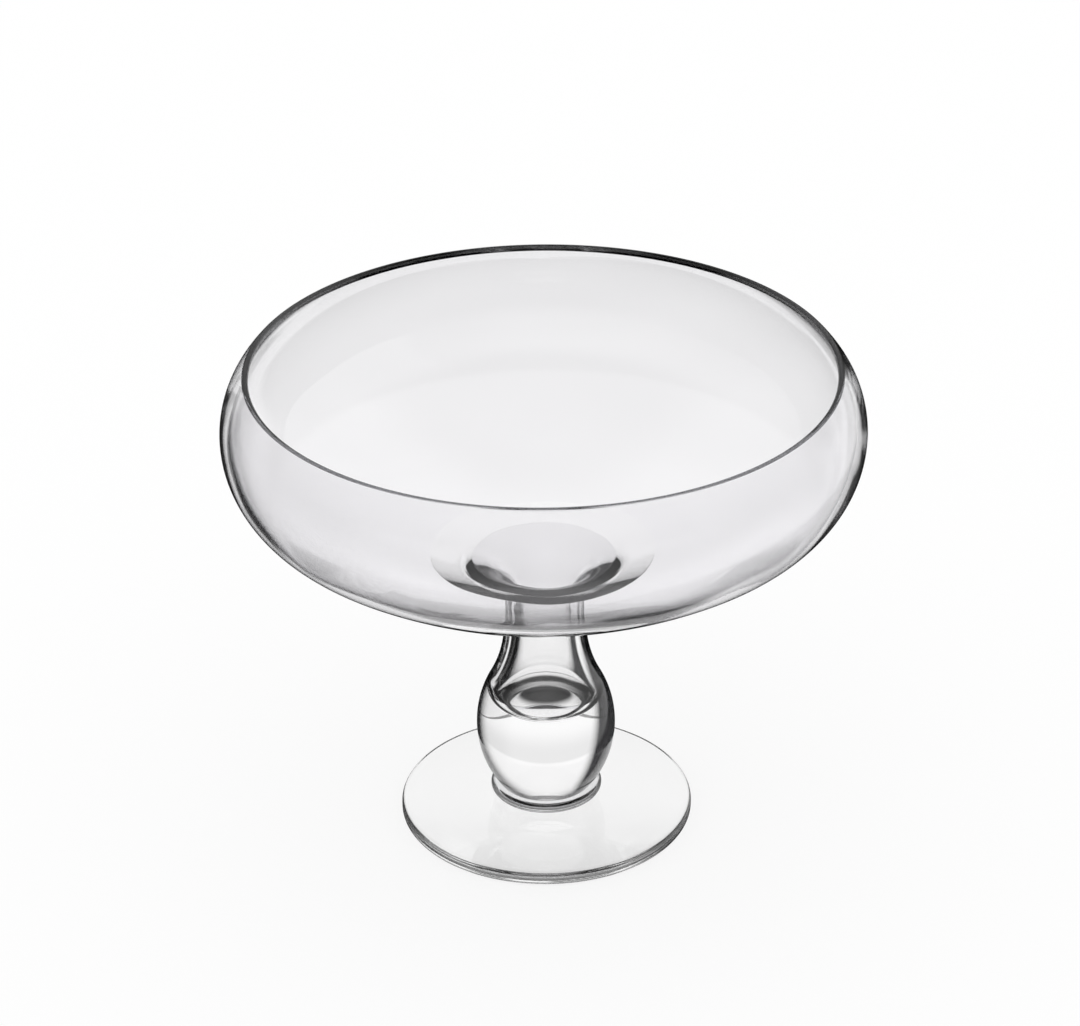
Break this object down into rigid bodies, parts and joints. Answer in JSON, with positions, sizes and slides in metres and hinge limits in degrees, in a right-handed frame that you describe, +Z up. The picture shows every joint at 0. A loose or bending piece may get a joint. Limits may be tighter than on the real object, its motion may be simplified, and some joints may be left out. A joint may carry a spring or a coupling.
{
  "type": "footed fruit bowl",
  "caption": "Clear glass fruit bowl with a low round-shouldered bowl on a knop stem that holds an air bubble, and a disc foot.",
  "frame": {"origin": "centre of the foot's flat underside, on the surface that the bowl stands on", "axes": "+Z up along the axis of the bowl, stem and foot; +X to the right in the picture's view"},
  "size_m": [0.25, 0.25, 0.2],
  "materials": {
    "foot_glass": "fire-polished clear glass, flat ground underneath",
    "stem_glass": "fire-polished clear glass, thick and lens-like",
    "bowl_glass": "fire-polished clear blown glass with faint waves"
  },
  "bodies": {
    "root": {"foot": "foot_glass", "lower_collar": "stem_glass", "stem": "stem_glass", "upper_collar": "stem_glass", "bowl": "bowl_glass"}
  },
  "joints": []
}
